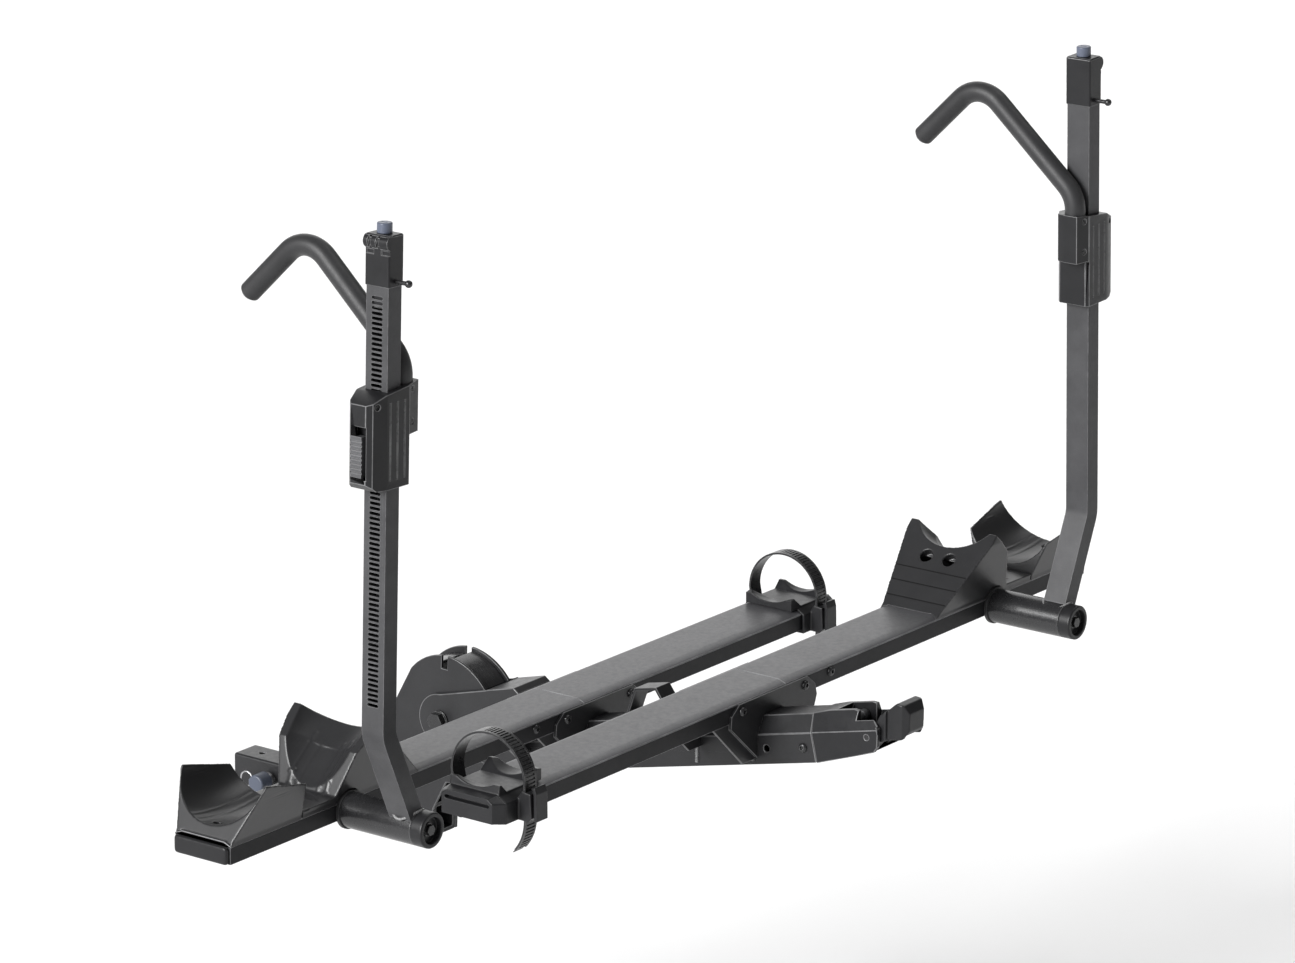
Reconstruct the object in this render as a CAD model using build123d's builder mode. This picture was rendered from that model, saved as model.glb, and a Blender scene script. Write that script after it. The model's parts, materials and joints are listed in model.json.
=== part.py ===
"""Platform rack that carries two bicycles behind a vehicle on a 2 inch receiver.

Millimetres. The origin is the centre of the hitch bolt in the shank. +Y points to the vehicle,
+Z up, +X along the trays. Carrier b is drawn first, about the middle of its own tray top, with
its wheel chock at +X; carrier a is its mirror image, set lower and nearer the vehicle.
"""
from build123d import *
import os
from math import cos, radians, sin

# ---------------------------------------------------------------- driving dimensions
TRAY_A_Y = -552.0          # middle of the inner tray, behind the hitch bolt
TRAY_A_Z = 247.0           # its top face, above the hitch bolt
TRAY_PITCH_Y = 310.0       # the outer tray is this much further back
TRAY_PITCH_Z = 74.0        # and this much higher

TRAY_HALF = 49.65          # half width of a tray over its cover
TRAY_FLAT_HALF = 37.4      # half width of the flat top
TRAY_BEVEL = 5.0           # drop of the bevelled edge
TRAY_DEEP = 31.1
TRAY_IN_END = 578.0        # strap end of the tray, from its middle
TRAY_OUT_END = 806.0       # chock end
COVER_THICK = 2.4
COVER_LIP = 7.0            # the cover's edge hangs this far below the top
COVER_SEAM = 32.0
TRAY_WALL = 3.0

WHEEL_R = 350.0            # bicycle wheel that the chock fits
CHOCK_WHEEL_X = 700.0
CHOCK_FLOOR = 10.0         # lowest point of the wheel above the tray
CHOCK_HALF_TOP = 76.0
CHOCK_HALF_FOOT = 50.0

PIVOT_X = 560.4            # mast pivot, from the middle of the tray
PIVOT_Z = -19.0
PIVOT_TUBE_R = 25.5
AXLE_R = 20.0
RUN_GAP = 0.05             # radial clearance of a running fit
SLIDE_GAP = 0.3            # clearance of a sliding sleeve
TUBE_NEAR = 55.3           # the pivot tube, measured out from the tray's middle
TUBE_FAR = 177.9
CAP_FAR = 198.0

MAST_WIDE = 27.3           # along X
MAST_DEEP = 37.5           # along Y
MAST_WALL = 2.5
MAST_Y = -158.5
MAST_LEAN = 1.94           # upper leg leans inward, degrees
BEND_X = 624.8
BEND_Z = 128.5
MAST_TOP = 618.9           # along the upper leg, from the bend
CAP_TOP = 689.0
SLOT_PITCH = 7.0
SLOT_COUNT = 81
SLOT_MID = 323.0

CARRIAGE_TALL = 130.0
CARRIAGE_RISE = 9.0            # the inner side stands this much higher
CARRIAGE_W = {"a": 346.7, "b": 324.0}   # carriage foot above the mast's bend
HOOK_R = 15.0
HOOK_U = -31.0             # the hook stands on the inner side of the mast
HOOK_V = -6.5
HOOK_FOOT = 72.0            # the hook's root above the carriage's foot

UNIT_X = {"a": 488.0, "b": 518.0}       # inner end of the sliding strap unit
UNIT_LONG = 108.0
STRAP_WIDE = 25.0
STRAP_THICK = 3.0
STRAP_ARCH_R = 62.0
STRAP_ARCH_Z = 13.0
RATCHET_PIVOT = (-77.5, 6.5)

TILT_Y = -339.7            # tilt pivot of the whole frame
TILT_Z = 164.5
SPINE_RISE = 13.0          # degrees
SPINE_HALF = 38.0
SPINE_SIDE = 43.0          # height of the beam's upright side
SPINE_TALL = 68.0
SPINE_TOP_HALF = 24.0
SPINE_WALL = 4.0
CABLE_HOLE = 393.0             # cross hole, along the beam from under the inner tray's middle
HOUSING_BOLT = 457.6           # bolts of the handle housing
SPINE_FOOT_Z = 131.6       # underside of the beam below the inner tray's middle
FORK_IN = 25.4             # inner faces of the fork plates grip the shank
FORK_OUT = 30.4
FORK_R = 98.0
SHANK = 50.8
SHANK_WALL = 6.35
SHANK_FRONT = 72.0
SHANK_BACK = -316.0
HITCH_BOLT_R = 7.9
LATCH_R = 5.0
LATCH_AT = FORK_R + LATCH_R + 0.4   # the pin stands just clear of the plates' rim
STOWED = 75.0              # tilt of the stowed rack
LOWERED = -32.0
HOUSING_IN = 462.5         # handle housing, along Y behind the inner tray's middle
LEVER_Y = -548.0
LEVER_Z = 46.0

SIDES = {
    "a": (0, TRAY_A_Y, TRAY_A_Z),
    "b": (0, TRAY_A_Y - TRAY_PITCH_Y, TRAY_A_Z + TRAY_PITCH_Z),
}
os.makedirs("parts", exist_ok=True)


def write(piece, label):
    """Labels a finished piece and writes it."""
    piece.part.label = label
    export_step(piece.part, f"parts/{label}.step")


def write_carrier(piece, label, side):
    """Sets a carrier's piece on its own tray; carrier a is the mirror image."""
    shape = piece.part if side == "b" else piece.part.mirror(Plane.YZ)
    with BuildPart() as placed:
        with Locations(SIDES[side]):
            add(shape)
    write(placed, f"{label}_{side}")


def write_both(piece, label):
    """A piece that is alike on both carriers."""
    write_carrier(piece, label, "a")
    write_carrier(piece, label, "b")


def at_x(x):
    """Plane across the tray, with Y to the right and Z up."""
    return Plane.YZ.offset(x)


def at_y(y):
    """Plane along the tray at y, with X to the right and Z up; it faces -Y."""
    return Plane.XZ.offset(-y)


def mast_point(u, w):
    """X and Z of a point u outside the mast's centre line and w above its bend."""
    lean = radians(MAST_LEAN)
    return BEND_X - w * sin(lean) + u * cos(lean), BEND_Z + w * cos(lean) + u * sin(lean)


def mast_section(w):
    """Plane across the upper mast, x outward and y to the vehicle."""
    x, z = mast_point(0, w)
    lean = radians(MAST_LEAN)
    return Plane(origin=(x, MAST_Y, z), x_dir=(cos(lean), 0, sin(lean)), z_dir=(-sin(lean), 0, cos(lean)))


def mast_side(u):
    """Plane along the upper mast at u, x to the vehicle and y up the mast."""
    x, z = mast_point(u, 0)
    lean = radians(MAST_LEAN)
    return Plane(origin=(x, MAST_Y, z), x_dir=(0, 1, 0), z_dir=(cos(lean), 0, sin(lean)))


def outline(points, mode=Mode.ADD):
    """Straight-sided face from its corners, in the sketch that is open."""
    Polygon(*points, align=None, mode=mode)


def tray_outline(drop, side_in):
    """Corners of the tray's top profile, drop below the cover and side_in inside it."""
    half = TRAY_HALF - side_in
    flat = TRAY_FLAT_HALF - drop * 0.2
    bevel_z = -TRAY_BEVEL - drop * 0.5
    return [(-half, bevel_z), (-flat, -drop), (flat, -drop), (half, bevel_z)]


# ---------------------------------------------------------------- trays
def make_tray():
    skin = 0.8
    top = tray_outline(COVER_THICK, skin)
    inner_top = tray_outline(COVER_THICK + TRAY_WALL, skin + TRAY_WALL)
    floor = -TRAY_DEEP + TRAY_WALL
    with BuildPart() as tray:
        with BuildSketch(at_x(-TRAY_IN_END)):
            outline([(-TRAY_HALF + skin, -TRAY_DEEP), *top, (TRAY_HALF - skin, -TRAY_DEEP)])
            with BuildSketch(mode=Mode.SUBTRACT):
                outline([(inner_top[0][0], floor), *inner_top, (inner_top[-1][0], floor)])
        extrude(amount=TRAY_IN_END + TRAY_OUT_END)
    return tray


def make_cover():
    """Two lengths of capping that meet at a seam."""
    skin = 0.8
    outer = tray_outline(0, 0)
    inner = tray_outline(COVER_THICK, skin)
    ring = [(-TRAY_HALF, -COVER_LIP), *outer, (TRAY_HALF, -COVER_LIP), (TRAY_HALF - skin, -COVER_LIP)]
    with BuildPart() as cover:
        for start, end in ((-TRAY_IN_END, COVER_SEAM - 0.4), (COVER_SEAM + 0.4, TRAY_OUT_END)):
            with BuildSketch(at_x(start)):
                outline([*ring, *reversed(inner), (-TRAY_HALF + skin, -COVER_LIP)])
            extrude(amount=end - start)
    return cover


def make_end_cap():
    cap_thick = 7.0
    with BuildPart() as cap:
        with BuildSketch(at_x(TRAY_OUT_END)):
            with Locations((0, -(TRAY_BEVEL + TRAY_DEEP) / 2 - 0.3)):
                RectangleRounded(94, TRAY_DEEP - TRAY_BEVEL, 5)
        extrude(amount=cap_thick)
        fillet(cap.edges().group_by(Axis.X)[-1], radius=4)
        with BuildSketch(at_x(TRAY_OUT_END)):
            with Locations((0, -18)):
                Rectangle(88, 18)
        extrude(amount=-12)
    return cap


# ---------------------------------------------------------------- mast pivot
def ring_about_pivot(near, far, radius, bore=0.0):
    """Round piece on the mast's pivot axis, from near to far in front of the tray."""
    with BuildPart() as ring:
        with BuildSketch(at_y(-near)):
            with Locations((PIVOT_X, PIVOT_Z)):
                Circle(radius)
                if bore:
                    Circle(bore, mode=Mode.SUBTRACT)
        extrude(amount=far - near)
    return ring


# ---------------------------------------------------------------- wheel chock and cradle
def wheel_groove(centre_x, floor_z, half_wide, tall):
    """Space taken by a tyre: a rounded V turned about the wheel's axle."""
    with BuildPart() as groove:
        with BuildSketch(at_x(centre_x)):
            with BuildLine():
                Polyline((half_wide, floor_z + tall), (half_wide, floor_z + 2 * tall),
                         (-half_wide, floor_z + 2 * tall), (-half_wide, floor_z + tall))
                Spline((-half_wide, floor_z + tall), (-0.22 * half_wide, floor_z + 0.07 * tall),
                       (0.22 * half_wide, floor_z + 0.07 * tall), (half_wide, floor_z + tall))
            make_face()
        revolve(axis=Axis((centre_x, 0, floor_z + WHEEL_R), (0, 1, 0)))
    return groove.part


def groove_foot(start, end, half_wide, tall):
    """Straight lower end of the wheel's groove, from start down to end, clear of the tray."""
    down = (end[0] - start[0], 0, end[1] - start[1])
    with BuildPart() as trough:
        with BuildSketch(Plane(origin=(start[0], 0, start[1]), x_dir=(0, 1, 0), z_dir=down)):
            with BuildLine():
                Polyline((half_wide, tall), (half_wide, 2 * tall), (-half_wide, 2 * tall), (-half_wide, tall))
                Spline((-half_wide, tall), (-0.22 * half_wide, 0.07 * tall), (0.22 * half_wide, 0.07 * tall),
                       (half_wide, tall))
            make_face()
        extrude(amount=90)
        with BuildSketch(at_y(0)):
            outline([(380, 4), (380, 200), (700, 200), (700, 4)])
        extrude(amount=2 * CHOCK_HALF_TOP, both=True, mode=Mode.INTERSECT)
    return trough.part


def flare(top_z):
    """Prism that is narrow at the tray and wide at the wings."""
    low = -COVER_LIP
    with BuildPart() as prism:
        with BuildSketch(at_x(380)):
            outline([(-CHOCK_HALF_FOOT, low), (CHOCK_HALF_FOOT, low), (CHOCK_HALF_FOOT, 0),
                     (CHOCK_HALF_TOP, top_z), (CHOCK_HALF_TOP, 130), (-CHOCK_HALF_TOP, 130),
                     (-CHOCK_HALF_TOP, top_z), (-CHOCK_HALF_FOOT, 0)])
        extrude(amount=450)
    return prism.part


def tray_block():
    """The covered tray as a solid, for seating pieces on it."""
    with BuildPart() as block:
        with BuildSketch(at_x(380)):
            outline([(-TRAY_HALF, -TRAY_DEEP), *tray_outline(0, 0), (TRAY_HALF, -TRAY_DEEP)])
        extrude(amount=450)
    return block.part


def make_chock():
    ramp = (117.5, 106.0)              # run and rise of the ramp
    foot_x, foot_z = 407.5, -5.0
    peak_x, peak_z = foot_x + ramp[0], foot_z + ramp[1]
    floor_end = 657.0
    with BuildPart() as chock:
        with BuildSketch(at_y(0)):
            outline([(foot_x, -COVER_LIP), (foot_x, foot_z), (peak_x, peak_z), (566, 66), (590, 6),
                     (floor_end, 5), (floor_end, -COVER_LIP)])
        extrude(amount=CHOCK_HALF_TOP, both=True)
        add(flare(88), mode=Mode.INTERSECT)
        add(tray_block(), mode=Mode.SUBTRACT)
        add(wheel_groove(CHOCK_WHEEL_X, CHOCK_FLOOR, 70, 56), mode=Mode.SUBTRACT)
        add(groove_foot((535, 50), (592, 4), 66, 56), mode=Mode.SUBTRACT)
        add(ring_about_pivot(TRAY_HALF - 1, 2 * TRAY_HALF, PIVOT_TUBE_R + 3).part, mode=Mode.SUBTRACT)
        # hollow under the ramp, open towards the tray
        with BuildSketch(at_y(0)):
            outline([(436, -8), (436, 15), (488, 60), (506, 52), (530, 34), (556, 14), (566, 1), (566, -8)])
        extrude(amount=32, both=True, mode=Mode.SUBTRACT)
        # tread lines and drain holes on the ramp
        ramp_plane = Plane(origin=(foot_x, 0, foot_z), x_dir=(0, 1, 0), z_dir=(-ramp[1], 0, ramp[0]))
        with BuildSketch(ramp_plane):
            with Locations((0, -26.2), (0, -52.5), (0, -77.4)):
                Rectangle(150, 1.8)
        extrude(amount=-1.6, mode=Mode.SUBTRACT)
        with BuildSketch(ramp_plane):
            with Locations((-20, -101.5), (20, -101.5)):
                Circle(10.5)
        extrude(amount=-12, mode=Mode.SUBTRACT)
    return chock


def make_cradle():
    with BuildPart() as cradle:
        with BuildSketch(at_y(0)):
            outline([(659, -COVER_LIP), (659, 7), (670, 52), (761, 74), (805, -4), (805, -COVER_LIP)])
        extrude(amount=CHOCK_HALF_TOP, both=True)
        add(flare(70), mode=Mode.INTERSECT)
        add(tray_block(), mode=Mode.SUBTRACT)
        add(wheel_groove(CHOCK_WHEEL_X + 25, CHOCK_FLOOR - 6, 72, 62), mode=Mode.SUBTRACT)
        with BuildSketch(Plane.XY.offset(40)):
            with Locations((775, 0)):
                Circle(6)
        extrude(amount=-36, mode=Mode.SUBTRACT)
    return cradle


# ---------------------------------------------------------------- pivot fittings
def make_pivot_axle():
    axle = ring_about_pivot(TRAY_HALF - 0.8, TUBE_FAR + 0.3, AXLE_R, 5.0)
    with BuildPart() as seated:
        add(axle.part)
        with BuildSketch(at_x(380)):
            outline([(-TRAY_HALF, -TRAY_DEEP), *tray_outline(0, 0), (TRAY_HALF, -TRAY_DEEP)])
        extrude(amount=450, mode=Mode.SUBTRACT)
    return seated


def make_pivot_cap():
    with BuildPart() as cap:
        add(ring_about_pivot(TUBE_FAR + 0.3, CAP_FAR, PIVOT_TUBE_R, 5.0).part)
        with BuildSketch(at_y(-CAP_FAR)):
            with Locations((PIVOT_X, PIVOT_Z)):
                Circle(19)
        extrude(amount=-9, mode=Mode.SUBTRACT)
        chamfer(cap.edges().filter_by(GeomType.CIRCLE).sort_by(SortBy.RADIUS)[-1], length=1.5)
    return cap


def make_pivot_bolts():
    """One bolt for each mast pivot: it holds the cap on the axle."""
    seat = CAP_FAR - 9
    with BuildPart() as bolt:
        with BuildSketch(at_y(-(TRAY_HALF + 8))):
            with Locations((PIVOT_X, PIVOT_Z)):
                Circle(5.0)
        extrude(amount=seat - TRAY_HALF - 8)
        with BuildSketch(at_y(-seat)):
            with Locations((PIVOT_X, PIVOT_Z)):
                Circle(10)
        extrude(amount=1.8)
        with BuildSketch(at_y(-seat - 1.8)):
            with Locations((PIVOT_X, PIVOT_Z)):
                RegularPolygon(8, 6)
        extrude(amount=5.5)
    with BuildPart() as bolts:
        with Locations(SIDES["a"]):
            add(bolt.part.mirror(Plane.YZ))
        with Locations(SIDES["b"]):
            add(bolt.part)
    return bolts


# ---------------------------------------------------------------- mast
def mast_bar(width, depth, low, top_w):
    """Bar along the mast's bent centre line."""
    top = mast_point(0, top_w)
    with BuildPart() as bar:
        with BuildSketch(at_y(MAST_Y)):
            with BuildLine():
                FilletPolyline((PIVOT_X, low), (BEND_X, BEND_Z), top, radius=38)
            trace(line_width=width)
        extrude(amount=depth / 2, both=True)
    return bar.part


def make_mast():
    with BuildPart() as mast:
        add(mast_bar(MAST_WIDE, MAST_DEEP, PIVOT_Z, MAST_TOP))
        add(mast_bar(MAST_WIDE - 2 * MAST_WALL, MAST_DEEP - 2 * MAST_WALL, PIVOT_Z, MAST_TOP + 1),
            mode=Mode.SUBTRACT)
        add(ring_about_pivot(100, 220, PIVOT_TUBE_R).part, mode=Mode.SUBTRACT)
        with BuildSketch(mast_side(MAST_WIDE / 2)):
            with Locations((0, SLOT_MID)):
                with GridLocations(SLOT_PITCH, SLOT_PITCH, 1, SLOT_COUNT):
                    SlotOverall(19, 4.6)
        extrude(amount=-MAST_WALL - 0.5, mode=Mode.SUBTRACT)
    # below the pivot tube nothing of the mast is left
    with BuildPart() as kept:
        add(mast.part.solids().sort_by(Axis.Z)[-1])
    return kept


def make_mast_cap():
    wide, deep = MAST_WIDE + 4, MAST_DEEP + 4
    with BuildPart() as cap:
        with BuildSketch(mast_section(MAST_TOP)):
            RectangleRounded(wide, deep, 3)
        extrude(amount=CAP_TOP - MAST_TOP)
        chamfer(cap.faces().sort_by(Axis.Z)[-1].edges(), length=2)
        with BuildSketch(mast_section(MAST_TOP)):
            Rectangle(MAST_WIDE - 2 * MAST_WALL - 0.4, MAST_DEEP - 2 * MAST_WALL - 0.4)
        extrude(amount=-30)
        # cross barrel on the outer face, in three knuckles
        for near, far, radius in ((20.7, 6, 9.5), (6, 1, 7), (1, -8, 9.5), (-8, -13, 7), (-13, -20.7, 9.5)):
            with BuildSketch(at_y(MAST_Y - near)):
                with Locations(mast_point(11, CAP_TOP - 10.5)):
                    Circle(radius)
            extrude(amount=far - near)
        with BuildSketch(mast_side(wide / 2 + 1)):
            with Locations((-14, CAP_TOP - 24), (12, CAP_TOP - 24)):
                Rectangle(13, 6)
        extrude(amount=-3, mode=Mode.SUBTRACT)
        with BuildSketch(mast_section(CAP_TOP - 22)):
            Circle(7 + RUN_GAP)
        extrude(amount=30, mode=Mode.SUBTRACT)
    return cap


def make_lock_core():
    with BuildPart() as core:
        with BuildSketch(mast_section(CAP_TOP + 0.4)):
            Circle(10.5)
        extrude(amount=14)
        chamfer(core.edges().group_by(Axis.Z)[-1], length=1.2)
        with BuildSketch(mast_section(CAP_TOP + 14.4)):
            Rectangle(2.2, 9)
        extrude(amount=-6, mode=Mode.SUBTRACT)
        with BuildSketch(mast_section(CAP_TOP + 0.4)):
            Circle(7)
        extrude(amount=-21)
    return core


def make_lock_stud():
    reach = MAST_DEEP / 2 + 2
    x, z = mast_point(0, MAST_TOP + 7)
    with BuildPart() as stud:
        with BuildSketch(at_y(MAST_Y - reach)):
            with Locations((x, z)):
                Circle(3)
        extrude(amount=20)
        with Locations((x, MAST_Y - reach - 21, z)):
            Sphere(5.2)
    return stud


# ---------------------------------------------------------------- carriage
def make_carriage(foot):
    bore_wide, bore_deep = MAST_WIDE + 2 * SLIDE_GAP, MAST_DEEP + 2 * SLIDE_GAP
    top = foot + CARRIAGE_TALL
    with BuildPart() as carriage:
        with BuildSketch(mast_section(foot)):
            outline([(20, 27.5), (-22, 27.5), (-28, 22), (-28, -22), (-24, -27), (22, -27), (44, -20),
                     (50, -12), (50, 14), (44, 20)])
        extrude(amount=CARRIAGE_TALL + CARRIAGE_RISE)
        # block on the inner side that holds the hook's root
        with BuildSketch(mast_section(foot + HOOK_FOOT - 4)):
            outline([(-20, -27), (-49, -21), (-49, 0), (-45, 14), (-24, 24)])
        extrude(amount=CARRIAGE_TALL + CARRIAGE_RISE - HOOK_FOOT + 4)
        # the top slopes outward and the outer side tapers at the foot
        with BuildSketch(at_y(MAST_Y + 40)):
            outline([mast_point(-49, top + CARRIAGE_RISE), mast_point(24, top), mast_point(54, top - 14),
                     mast_point(54, top + 20), mast_point(-60, top + 20)])
            outline([mast_point(38, foot), mast_point(54, foot + 13), mast_point(54, foot - 5)])
        extrude(amount=80, mode=Mode.SUBTRACT)
        with BuildSketch(mast_section(foot)):
            Rectangle(bore_wide, bore_deep)
        extrude(amount=CARRIAGE_TALL + CARRIAGE_RISE, mode=Mode.SUBTRACT)
        # pocket of the squeeze button, and the channel of its pawl
        with BuildSketch(mast_section(foot + 16)):
            with Locations((45, 0)):
                Rectangle(17, 25)
        extrude(amount=72, mode=Mode.SUBTRACT)
        with BuildSketch(mast_section(foot + 48)):
            with Locations((26, 0)):
                Rectangle(26, 17)
        extrude(amount=5, mode=Mode.SUBTRACT)
        with BuildSketch(mast_section(foot + HOOK_FOOT - 1)):
            with Locations((HOOK_U, HOOK_V)):
                Circle(HOOK_R)
        extrude(amount=CARRIAGE_TALL, mode=Mode.SUBTRACT)
        # grooves in the front face
        with BuildSketch(mast_section(foot + 12)):
            with Locations((-14, -27), (1, -27), (16, -27)):
                Rectangle(2.4, 3)
        extrude(amount=CARRIAGE_TALL - 24, mode=Mode.SUBTRACT)
        # screw pockets: two over the hook's root, one over the button
        for u, w, depth in ((-33.5, 129, 4.5), (-33.5, 84, 4.5), (37, 115, 8)):
            with BuildSketch(at_y(MAST_Y - 27)):
                with Locations(mast_point(u, foot + w)):
                    Circle(4.2)
            extrude(amount=-depth, mode=Mode.SUBTRACT)
    return carriage


def make_hook(foot):
    low = foot + HOOK_FOOT
    with BuildPart() as hook:
        with BuildLine(mast_side(HOOK_U)):
            FilletPolyline((HOOK_V, low), (HOOK_V, foot + 165), (158.5, foot + 315), (262, foot + 214),
                           radius=48)
        with BuildSketch(mast_section(low)):
            with Locations((HOOK_U, HOOK_V)):
                Circle(HOOK_R)
        sweep()
        chamfer(hook.faces().sort_by(Axis.Y)[-1].edges(), length=5)
    return hook


def make_button(foot):
    with BuildPart() as button:
        with BuildSketch(mast_section(foot + 19)):
            with Locations((46.5, 2.6)):
                Rectangle(11, 18.4)
        extrude(amount=56)
        with BuildSketch(mast_side(52)):
            with Locations((2.6, foot + 47)):
                with GridLocations(6, 6.2, 1, 8):
                    Rectangle(18.4, 2.2)
        extrude(amount=-1.6, mode=Mode.SUBTRACT)
    return button


def make_pawl(foot):
    with BuildPart() as pawl:
        with BuildSketch(mast_section(foot + 48.4)):
            with Locations((23.25, 0)):
                Rectangle(18.5, 16)
        extrude(amount=4.2)
    return pawl


# ---------------------------------------------------------------- strap unit
def unit_clearance():
    """The covered tray plus the sleeve's sliding gap."""
    gap = 0.4
    top = [(-TRAY_HALF - gap, -TRAY_BEVEL), (-TRAY_FLAT_HALF, gap), (TRAY_FLAT_HALF, gap),
           (TRAY_HALF + gap, -TRAY_BEVEL)]
    return [(-TRAY_HALF - gap, -TRAY_DEEP - gap), *top, (TRAY_HALF + gap, -TRAY_DEEP - gap)]


def make_sleeve(start):
    """Sleeve that slides on the tray's end and carries the second wheel's saddle."""
    cap_at = start + UNIT_LONG - 16
    half = 54.5
    with BuildPart() as sleeve:
        with BuildSketch(at_x(-start - 16)):
            outline([(-half, -35), (-half, -6), (-40, 4), (40, 4), (half, -6), (half, -35)])
            with BuildSketch(mode=Mode.SUBTRACT):
                outline(unit_clearance())
        extrude(amount=-(cap_at - start - 16))
        # saddle: a floor with a raised V at each end
        with BuildSketch(at_y(0)):
            outline([(-start, 0.8), (-start, 17), (-start - 9, 19), (-start - 27, 4.5),
                     (-start - 74, 4.5), (-start - 85, 16), (-start - 90, 16), (-cap_at, 0.8)])
        extrude(amount=42, both=True)
        add(wheel_groove(-start - 50, 5.5, 44, 17), mode=Mode.SUBTRACT)
        # ratchet body on the near side, with the strap's way through it
        with BuildSketch(at_x(-start - 50)):
            outline([(-54, -35), (-54, -2), (-60, 6), (-74, 4), (-76, -30), (-70, -36)])
        extrude(amount=STRAP_WIDE / 2 + 3, both=True)
        with BuildSketch(at_x(-start - 50)):
            outline([(-60.2, -40), (-60.2, 10), (-65.2, 10), (-65.2, -40)])
        extrude(amount=STRAP_WIDE / 2 + 0.4, both=True, mode=Mode.SUBTRACT)
        # rounded lug on the far side that the strap is riveted to
        with BuildSketch(Plane.XZ.offset(-53.6)):
            with Locations((-start - 46, -36)):
                RectangleRounded(36, 47, 16)
        extrude(amount=-3.4)
        with BuildSketch(at_x(-start - 50)):
            outline([(54, -34), (54, -12.4), (60, -12.4), (60, -28), (57, -34)])
        extrude(amount=STRAP_WIDE / 2 + 2, both=True)
    return sleeve


def make_sleeve_cap(start):
    near = start + UNIT_LONG - 16
    with BuildPart() as cap:
        with BuildSketch(at_x(-near)):
            outline([(-54.5, -35), (-54.5, -6), (-40, 4), (40, 4), (54.5, -6), (54.5, -35)])
        with BuildSketch(at_x(-near - 16)):
            outline([(-43, -33), (-43, -5), (-35, 1), (35, 1), (43, -5), (43, -33)])
        loft()
        with BuildSketch(at_x(-near - 16)):
            with Locations((0, -9)):
                SlotOverall(76, 4.6)
        extrude(amount=9, mode=Mode.SUBTRACT)
    return cap


def make_strap(start):
    """Toothed strap: rooted on the far side, over the tyre, down through the ratchet."""
    with BuildPart() as strap:
        with BuildSketch(at_x(-start - 50)):
            with BuildLine():
                Line((57, -12), (STRAP_ARCH_R, STRAP_ARCH_Z))
                ThreePointArc((STRAP_ARCH_R, STRAP_ARCH_Z), (0, STRAP_ARCH_Z + STRAP_ARCH_R),
                              (-STRAP_ARCH_R, STRAP_ARCH_Z))
                Line((-STRAP_ARCH_R, STRAP_ARCH_Z), (-62.5, -36))
                ThreePointArc((-62.5, -36), (-57, -63), (-41, -86))
            trace(line_width=STRAP_THICK)
        extrude(amount=STRAP_WIDE / 2, both=True)
    return strap


def make_ratchet_lever(start):
    with BuildPart() as lever:
        with BuildSketch(at_x(-start - 50)):
            outline([(-76.8, 7), (-72.8, 11.4), (-79, 13.4), (-82, 4), (-83, -34), (-79, -36), (-77.4, -28)])
            with Locations(RATCHET_PIVOT):
                Circle(2.6)
        extrude(amount=12, both=True)
    return lever


# ---------------------------------------------------------------- hitch fork
def polar(radius, angle):
    """Y and Z of a point about the tilt pivot; the angle rises from the -Y side."""
    return TILT_Y - radius * cos(radians(angle)), TILT_Z + radius * sin(radians(angle))


def notch_at(tilt):
    """Seat of the latch pin in the plates' rim, at one tilt of the frame."""
    angle = radians(SPINE_RISE + tilt)
    return Plane(origin=(0, TILT_Y, TILT_Z), x_dir=(0, -cos(angle), sin(angle)), z_dir=(1, 0, 0))


def make_fork_plates():
    with BuildPart() as plates:
        with BuildSketch(Plane.YZ.offset(FORK_IN)):
            with BuildLine():
                Line((SHANK_BACK, -SHANK / 2), polar(147, -98.5))
                Line(polar(147, -98.5), polar(FORK_R, -88))
                ThreePointArc(polar(FORK_R, -88), polar(FORK_R, 0), polar(FORK_R, 86))
                Spline(polar(FORK_R, 86), polar(94, 112), polar(90, 132))
                Line(polar(90, 132), polar(90, 170))
                Line(polar(90, 170), (-150, SHANK / 2))
                Line((-150, SHANK / 2), (-150, -SHANK / 2))
                Line((-150, -SHANK / 2), (SHANK_BACK, -SHANK / 2))
            make_face()
            with Locations((TILT_Y, TILT_Z)):
                Circle(13, mode=Mode.SUBTRACT)
        extrude(amount=FORK_OUT - FORK_IN)
        for tilt in (LOWERED, 0.0, STOWED):
            with BuildSketch(notch_at(tilt)):
                with Locations((FORK_R - 8, 0)):
                    Rectangle(26, 2 * LATCH_R + 1.2)
            extrude(amount=FORK_OUT + 1, mode=Mode.SUBTRACT)
        mirror(about=Plane.YZ)
    return plates


def make_fork_web():
    """Curved strip between the plates, in front of and behind the stowing notch."""
    with BuildPart() as web:
        for low, high, radius in ((36, 83, 93), (93, 134, 87)):
            with BuildSketch(Plane.YZ):
                with BuildLine():
                    ThreePointArc(polar(radius, low), polar(radius, (low + high) / 2), polar(radius, high))
                    Line(polar(radius, high), polar(radius - 5, high))
                    ThreePointArc(polar(radius - 5, high), polar(radius - 5, (low + high) / 2),
                                  polar(radius - 5, low))
                    Line(polar(radius - 5, low), polar(radius, low))
                make_face()
            extrude(amount=FORK_IN, both=True)
    return web


def make_stinger():
    with BuildPart() as stinger:
        with BuildSketch(Plane.XZ.offset(-SHANK_FRONT)):
            RectangleRounded(SHANK, SHANK, 4)
            RectangleRounded(SHANK - 2 * SHANK_WALL, SHANK - 2 * SHANK_WALL, 2, mode=Mode.SUBTRACT)
        extrude(amount=SHANK_FRONT - SHANK_BACK)
        with BuildSketch(Plane.YZ.offset(-SHANK)):
            Circle(HITCH_BOLT_R + RUN_GAP)
        extrude(amount=2 * SHANK, mode=Mode.SUBTRACT)
        with BuildSketch(Plane.XY):
            with Locations((0, 38)):
                Circle(5)
        extrude(amount=SHANK, mode=Mode.SUBTRACT)
    return stinger


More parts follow.
